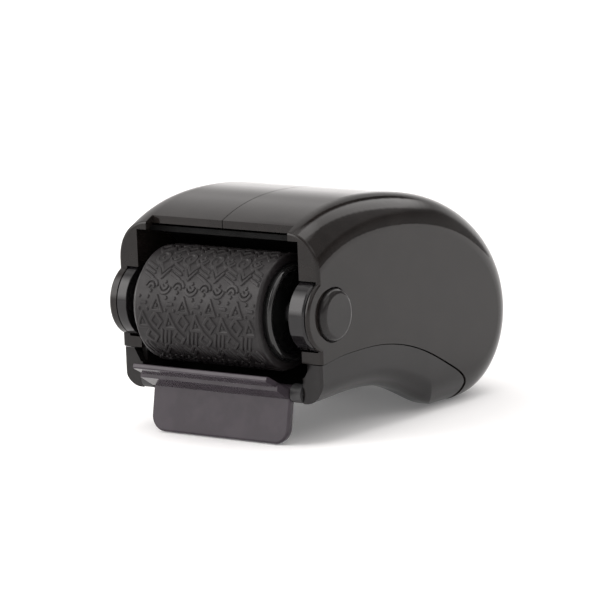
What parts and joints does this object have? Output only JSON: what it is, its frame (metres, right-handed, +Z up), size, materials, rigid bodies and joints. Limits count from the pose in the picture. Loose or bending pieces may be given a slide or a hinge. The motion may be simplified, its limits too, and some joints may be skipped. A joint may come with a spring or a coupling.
{
  "type": "rolling ink stamp",
  "caption": "Palm-sized rolling ink stamp with an embossed roller in a round-eared front bay, a guard flap and a side release button.",
  "frame": {"origin": "centre of the bounding box in X and Y, on the plane the stamp stands on", "axes": "+Z up, the roller faces -Y, X along the roller's axle"},
  "size_m": [0.0654, 0.1022, 0.0594],
  "materials": {
    "shell": "polished",
    "cover": "polished",
    "liner": "fine matte",
    "cartridge": "polished",
    "bush": "satin",
    "steel": "ground",
    "core": "satin",
    "felt": "ink-soaked felt",
    "stamp_rubber": "matte, embossed",
    "flange": "polished",
    "button": "polished",
    "spring": "drawn wire",
    "flap": "semi-gloss",
    "screw": "zinc plated"
  },
  "bodies": {
    "housing": {"left_housing_shell": "shell", "right_housing_shell": "shell", "bottom_cover": "cover", "bay_liner": "liner", "cartridge_frame": "cartridge", "left_axle_bush": "bush", "right_axle_bush": "bush", "roller_axle": "steel", "axle_spacers": "bush", "left_pivot_cap": "button", "flap_hinge_pin": "steel", "hinge_washers": "bush", "locating_pins": "steel", "cover_screws": "screw", "button_spring": "spring"},
    "roller": {"roller_core": "core", "ink_felt_sleeve": "felt", "stamp_sleeve": "stamp_rubber", "left_roller_flange": "flange", "right_roller_flange": "flange"},
    "button": {"release_button": "button"},
    "flap": {"guard_flap": "flap"}
  },
  "joints": [
    {"name": "roller_spin", "type": "hinge", "parent": "housing", "child": "roller", "pos_m": [0, -0.03622, 0.03285], "axis": [1, 0, 0], "continuous": true},
    {"name": "flap_swing", "type": "hinge", "parent": "housing", "child": "flap", "pos_m": [0, -0.03882, 0.01295], "axis": [-1, 0, 0], "range_deg": [0, 14]},
    {"name": "button_press", "type": "slide", "parent": "housing", "child": "button", "axis": [-1, 0, 0], "range_m": [0, 0.001], "stiffness_N_per_m": 200, "springref_m": -0.003, "deforming": ["button_spring"]}
  ]
}
